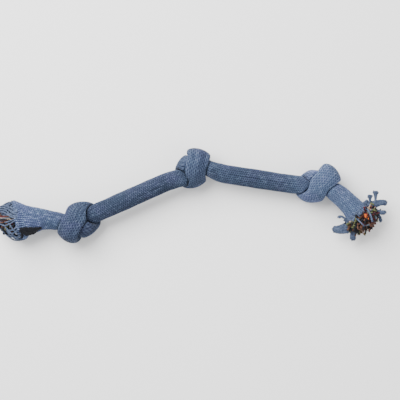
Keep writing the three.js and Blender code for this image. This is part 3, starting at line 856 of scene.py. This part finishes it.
def left_strands(end):
    """Strands that leave the slanting brim crossed, arch outwards and close in again."""
    yarns = []
    for k in range(left_strand_count):
        crossing = 1 if k % 2 else -1
        angle = 2 * math.pi * k / left_strand_count + rng.normal(0, bearing_stray)
        reach_out = left_fray * rng.uniform(*reach_range)
        close_in = rng.uniform(*tip_range)
        belly = rng.uniform(*belly_range)
        sweep = rng.uniform(*sweep_range)
        sway = rng.normal(0, sway_stray)
        # A strand that would lie over the very top is left out
        over_top = angle - 0.48 * crossing * sweep + 0.2 * sway - math.pi / 2
        if abs(math.remainder(over_top, 2 * math.pi)) < bare_top:
            continue
        points = []
        for run, reach in ((crossing_start, 0.95), (-0.04, 0.985), (0.1, 1.0), (0.28, belly),
                           (0.5, 0.82 * belly), (0.74, 0.4 * belly + 0.4 * close_in),
                           (1, close_in)):
            beyond = max(0, run)
            crossed = min(1, (run - crossing_start) / crossing_run)
            turn = angle + crossing * sweep * (0.5 - crossed) + sway * beyond ** 2
            level = -math.cos(turn)
            side = 0.98 + 0.08 * level if run < 0.6 else 0.98
            layer = crossing * layer_step * (run < 0.3)
            radius = left_flare["radius"] * reach * side + layer
            slant = left_flare["tilt_share"] * -radius * level * (1 - 0.6 * beyond)
            points.append((reach_out * run + slant, radius * level,
                           radius * brim_vertical_share * math.sin(turn)))
        path = end_path(end, points, 40)
        share = np.linspace(0, 1, len(path))
        radii = left_strand_radius * rng.uniform(0.85, 1.15) * (1 - 0.2 * share ** 4)
        yarns += plies(path, radii, count=3, lay=left_strand_lay)
    for points in sweeping_strands:
        path = end_path(end, points, 36)
        yarns += plies(path, left_strand_radius, count=3, lay=left_strand_lay)
    return yarn_piece("left_tassel_strands", yarns, [blue_yarn])


core_root_radius = 0.0088
core_lay = 0.006


def brush(tassel, end, reach, count, yarn_radius, weights, stray, shortest, fan, exchanges,
          others):
    """Cut core yarns that fan out from the rope's end in mixed colours. The reach is how far the
    longest tips lie outwards, to each side and up or down. The fan is the outer yarns' lean in
    degrees. Some colours are exchanged on the lower side."""
    yarns = []
    weights = np.array([weights.get(colour, 0) for colour in core_colours])
    chosen = rng.choice(len(core_yarns), count, p=weights / sum(weights))
    for k in range(count):
        share = math.sqrt((k + 0.5) / count)
        bearing = np.array([math.cos(k * golden_angle), math.sin(k * golden_angle)])
        colour = core_names[chosen[k]]
        if share * bearing[0] < -0.25:
            colour = exchanges.get(colour, colour)
        lean = share * math.radians(fan)
        grown = rng.uniform(shortest, 1.0)
        tip = grown * np.array(reach) * (max(math.cos(lean), -0.05), *math.sin(lean) * bearing)
        curl = np.clip(rng.normal(0, stray, 3), -2 * stray, 2 * stray)
        hook = curl + np.clip(rng.normal(0, stray, 3), -2 * stray, 2 * stray)
        root = core_root_radius * share * np.array([0, *bearing])
        path = end_path(end, [
            root + (-0.006, 0, 0),
            root + (0.0005, 0, 0),
            0.3 * root + tip * (0.55, 0.5, 0.5) + curl * (0.5, 1, 1) + (0.004, 0, 0),
            tip * (0.88, 0.85, 0.85) + (0.005 + curl[0], hook[1], hook[2]),
            tip + (0.005 + hook[2], hook[0], curl[1]),
        ], 12)
        radii = yarn_radius * rng.uniform(0.8, 1.2) * np.linspace(0.75, 1.3, len(path))
        yarns += plies(path, radii, 2, core_lay, core_names.index(colour))
    piece = yarn_piece(f"{tassel}_core_yarns", yarns + others, core_yarns)
    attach(piece, tassel)
    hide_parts(f"{tassel}_core")


# Black core yarns laid over the left sleeve's lower flank as painted shade: how far out their inner
# edge and their outline stand from the rope's axis, along the fray
shade_yarn_edge = 0.0118
shade_yarn_outs = (-0.034, -0.024, -0.016, -0.0105, -0.0078, -0.004)
shade_yarn_outline = (0.0146, 0.019, 0.0214, 0.024, 0.0266, 0.0285)
shade_yarn_radius = 0.0012


def painted_shade_yarns(end, count):
    """Black yarns side by side from their inner edge to the outline, as painted shade on the
    sleeve's lower flank.
    """
    made = []
    for k in range(count):
        share = (k + 0.5) / count
        first = -0.035 + 0.012 * share * rng.uniform(0.5, 1)
        outs = np.linspace(first, -0.006 - 0.004 * rng.uniform(), 12)
        outline = np.interp(outs, shade_yarn_outs, shade_yarn_outline)
        waver = 0.0008 * np.sin(outs * 500 + 2.4 * k)
        left = shade_yarn_edge + (outline - shade_yarn_edge) * share + waver
        above = np.sqrt(np.maximum(0, (outline + shade_yarn_radius) ** 2 - left ** 2))
        rise = brim_vertical_share * above + 0.0006
        path = np.array([placed(end, *point) for point in zip(outs, left, rise)])
        made += plies(path, shade_yarn_radius, count=2, lay=0.007)
    return yarn_piece("left_tassel_painted_shade_yarns", made, [core_yarns[core_names.index("black")]])


bare_tuft_count = 20
bare_tuft_colours = ("maroon", "black", "slate", "black", "brown",
                     "slate", "black", "maroon", "cream", "black")


def bare_tuft(end):
    """Core yarns that lie bare between the strands, on top of the left core."""
    made = []
    for k in range(bare_tuft_count):
        start, ahead = rng.uniform(-0.0034, 0.0018), rng.uniform(0.001, 0.007)
        across = start + rng.normal(0, 0.002)
        deeper = 0.0022 * rng.uniform()
        points = np.array([(ahead - 0.006, 0.8 * start, 0.014), (ahead, start, 0.0192),
                           (ahead + 0.006, 0.5 * (start + across), 0.0198),
                           (ahead + 0.013, across, 0.017), (ahead + 0.017, across, 0.012)])
        path = end_path(end, points - (0, 0, deeper), 14)
        colour = bare_tuft_colours[k % len(bare_tuft_colours)]
        made += plies(path, 0.00105, 2, core_lay, core_names.index(colour))
    return made


left_end = end_frame(left_brim_length, -1)
flared_sleeve("left_tassel", left_tail_length, left_flare)

left_fringe = left_strands(left_end)
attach(left_fringe, "left_tassel")

brush("left_tassel", end_frame(left_brim_length + 0.008, -1), reach=(0.032, 0.025, 0.0195),
      count=460, yarn_radius=0.0014, stray=0.001, shortest=0.74, fan=76,
      weights=dict(maroon=1.2, brown=3, black=18, olive=0.4, red=0.1, cream=0.3, slate=3),
      exchanges={}, others=bare_tuft(left_end))

# Black yarns as painted shade over the left sleeve's lower flank
left_painted_shade_yarns = painted_shade_yarns(left_end, 30)
bends(left_painted_shade_yarns)


# Right end: locks of sleeve yarn splay out beside the core, the upper ones first. Each has its
# points beyond the brim, outwards, to the left and up, its half widths from root to tip, and the
# number of its yarns.
right_locks = [
    ([(0.001, 0.0185, 0.005), (-0.0012, 0.0232, 0.006), (-0.0058, 0.0278, 0.007),
      (-0.0078, 0.0296, 0.007)],
     (0.0036, 0.0018, 0.001, 0.001, 0.0015, 0.0036, 0.004), 48),
    ([(0.006, 0.024, 0.005), (0.004, 0.029, 0.005), (-0.004, 0.0364, 0.006),
      (-0.0066, 0.039, 0.006)],
     (0.0036, 0.002, 0.0011, 0.0011, 0.0017, 0.004, 0.0044), 56),
    ([(0.004, 0.0206, 0.003), (0.0098, 0.033, 0.003), (0.0165, 0.0396, 0.001)],
     (0.0078, 0.0058, 0.0036, 0.0036), 100),
    ([(0.014, 0.0205, 0.003), (0.0185, 0.0232, 0.004), (0.025, 0.0296, 0.002)],
     (0.0034, 0.0026, 0.0022, 0.003), 44),
    ([(0.019, 0.02, -0.005), (0.025, 0.0205, -0.006), (0.0312, 0.0168, -0.007)],
     (0.0024, 0.0016, 0.0012, 0.0022), 22),
    ([(-0.0054, -0.0165, 0.004), (-0.0118, -0.0187, 0.004), (-0.0142, -0.0229, 0.003)],
     (0.0012, 0.0009, 0.001, 0.002), 16),
    ([(0.0058, -0.02, -0.002), (0.0012, -0.0308, -0.003), (-0.0062, -0.0386, -0.004)],
     (0.0046, 0.008, 0.0062, 0.0042), 140),
    ([(0.013, -0.02, -0.002), (0.0234, -0.0285, -0.001)],
     (0.0036, 0.003, 0.0042), 44),
]
upper_locks = 4
right_yarn_radius = 0.0007
right_lay = 0.008
loose_lay = 0.009
lock_flatness = 0.7
lock_twist = 0.9
lock_rounding = 0.0024
lock_stray = 0.0006
fringe_count = 34
fringe_length = 0.0045
fringe_radius = 0.0011
brim_wall_radius = right_flare["radius"] - sleeve_wall / 2

# The right fray starts a little inside the brim and towards the sleeve's lower side
centre, outward, level, rise = end_frame(right_brim_length - 0.0026, 1)
right_end = (centre - level * 0.001, outward, level, rise)

# Two strands that lie loose over the core: their radius, and points outwards, to the left and up
loose_strands = [
    (0.00135, [(-0.004, 0.012, 0.004), (0.000, 0.013, 0.0095), (0.006, 0.0127, 0.018),
               (0.0115, 0.0105, 0.0222), (0.0165, 0.008, 0.0232), (0.0195, 0.0064, 0.0215)]),
    (0.00095, [(-0.005, -0.007, 0.0118), (-0.001, -0.0068, 0.014), (0.0048, -0.0062, 0.0198),
               (0.0105, -0.006, 0.0238), (0.0165, -0.0058, 0.0236)]),
]


def round_point(angle, out, radius=brim_wall_radius):
    """A point round a frayed end's axis: within the brim's wall unless a radius is given."""
    return out, radius * math.cos(angle), radius * math.sin(angle)


def lock(end, points, widths, yarns):
    """Yarns that leave the brim together, draw in to a stem and flare at their round tip."""
    made = []
    _, left, up = points[0]
    angle = math.atan2(up, left)
    spine = end_path(end, [round_point(angle, -0.006), round_point(angle, 0), *points], 24)
    tangent = unit(np.gradient(spine, axis=0))
    side = unit(np.cross(tangent, (0, 0, 1.0)))
    upward = np.cross(side, tangent)
    share = np.linspace(0, 1, len(spine))
    width = np.interp(share, np.linspace(0.25, 1, len(widths)), widths)
    width = np.convolve(np.pad(width, 2, mode="edge"), np.full(5, 0.2), mode="valid")
    for k in range(yarns):
        radius = math.sqrt((k + 0.5) / yarns)
        bearing = k * golden_angle + lock_twist * share
        spread = (np.cos(bearing) * radius * width)[:, None] * side
        spread += (np.sin(bearing) * radius * width)[:, None] * upward * lock_flatness
        longer = -lock_rounding * radius ** 3 + rng.normal(0, lock_stray)
        path = spine + spread + tangent * (share ** 4 * longer)[:, None]
        made += plies(path, right_yarn_radius * rng.uniform(0.85, 1.15), count=2, lay=right_lay)
    return made


def brim_fringe(end):
    """Short cut yarns all round the brim."""
    made = []
    for k in range(fringe_count):
        angle = 2 * math.pi * (k + rng.uniform(-0.3, 0.3)) / fringe_count
        aside = rng.normal(0, 0.16)
        grown = fringe_length * rng.uniform(0.4, 1.1)
        tip_radius = brim_wall_radius + rng.uniform(0.0005, 0.0035)
        path = end_path(end, [round_point(angle, -0.004),
                              round_point(angle + 0.3 * aside, 0.0005),
                              round_point(angle + aside, grown, tip_radius)], 9)
        made += plies(path, fringe_radius, count=2, lay=right_lay)
    return made


def right_strands(end):
    """The locks beside the core's upper side as one piece, and the other strands as another."""
    upper = [yarn for shape in right_locks[:upper_locks] for yarn in lock(end, *shape)]
    yarns = [yarn for shape in right_locks[upper_locks:] for yarn in lock(end, *shape)]
    yarns += brim_fringe(end)
    for radius, points in loose_strands:
        yarns += plies(end_path(end, points, 24), radius, count=3, lay=loose_lay)
    return [yarn_piece("right_tassel_locks", upper, [blue_yarn]),
            yarn_piece("right_tassel_strands", yarns, [blue_yarn])]


flared_sleeve("right_tassel", right_tail_length, right_flare)

for right_fringe in right_strands(right_end):
    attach(right_fringe, "right_tassel")


orange_tuft_count = 7
orange_tuft_colours = ("orange", "red", "orange", "brown")


def orange_tuft(end):
    """A few orange yarns that show together near the middle of the cut end."""
    made = []
    for k in range(orange_tuft_count):
        spread = 0.0021 * math.sqrt(k / (orange_tuft_count - 1))
        aside = spread * math.cos(k * golden_angle)
        ahead = 1.3 * spread * math.sin(k * golden_angle)
        path = end_path(end, [(-0.004, 0.004, 0.006),
                              (0.004, 0.005 + 0.5 * aside, 0.012),
                              (0.0085 + ahead, 0.0062 + aside,
                               0.0195 + rng.uniform(-0.002, 0.001)),
                              (0.01 + 1.5 * ahead, 0.006 + 1.5 * aside, 0.0205)], 10)
        colour = orange_tuft_colours[k % len(orange_tuft_colours)]
        made += plies(path, 0.0009, 2, core_lay, core_names.index(colour))
    return made


brush("right_tassel", right_end, reach=(0.024, 0.0265, 0.021),
      count=640, yarn_radius=0.00112, stray=0.0022, shortest=0.6, fan=96,
      weights=dict(maroon=6.5, brown=7, black=13, olive=6.5, orange=0.3, red=0.6, cream=0.6,
                   yellow=0.4, slate=1.5),
      exchanges=dict(maroon="olive", orange="black", red="brown", yellow="black"),
      others=orange_tuft(right_end))

# Floor and light
bpy.ops.mesh.primitive_plane_add(size=6, location=(0, 0, -0.0004))
floor = bpy.context.object
floor.name = "floor"
floor_material = bpy.data.materials.new("floor")
floor_material.use_nodes = True
floor_shader = floor_material.node_tree.nodes["Principled BSDF"]
floor_shader.inputs["Base Color"].default_value = (0.95, 0.95, 0.95, 1)
floor_shader.inputs["Roughness"].default_value = 0.9
floor.data.materials.append(floor_material)

world = bpy.data.worlds.new("studio")
world.use_nodes = True
background = world.node_tree.nodes["Background"]
background.inputs["Color"].default_value = (1, 1, 1, 1)
background.inputs["Strength"].default_value = 0.9
bpy.context.scene.world = world
lit_place = Vector((0, -0.03, 0))


def softbox(name, location, size, power):
    data = bpy.data.lights.new(name, "AREA")
    data.size = size
    data.energy = power
    light = linked(name, data)
    light.location = location
    light.rotation_euler = (lit_place - Vector(location)).to_track_quat("-Z", "Y").to_euler()


softbox("key", location=(-0.9, 1.0, 1.6), size=1.7, power=118)
softbox("fill", location=(1.1, -0.5, 1.2), size=1.2, power=6)
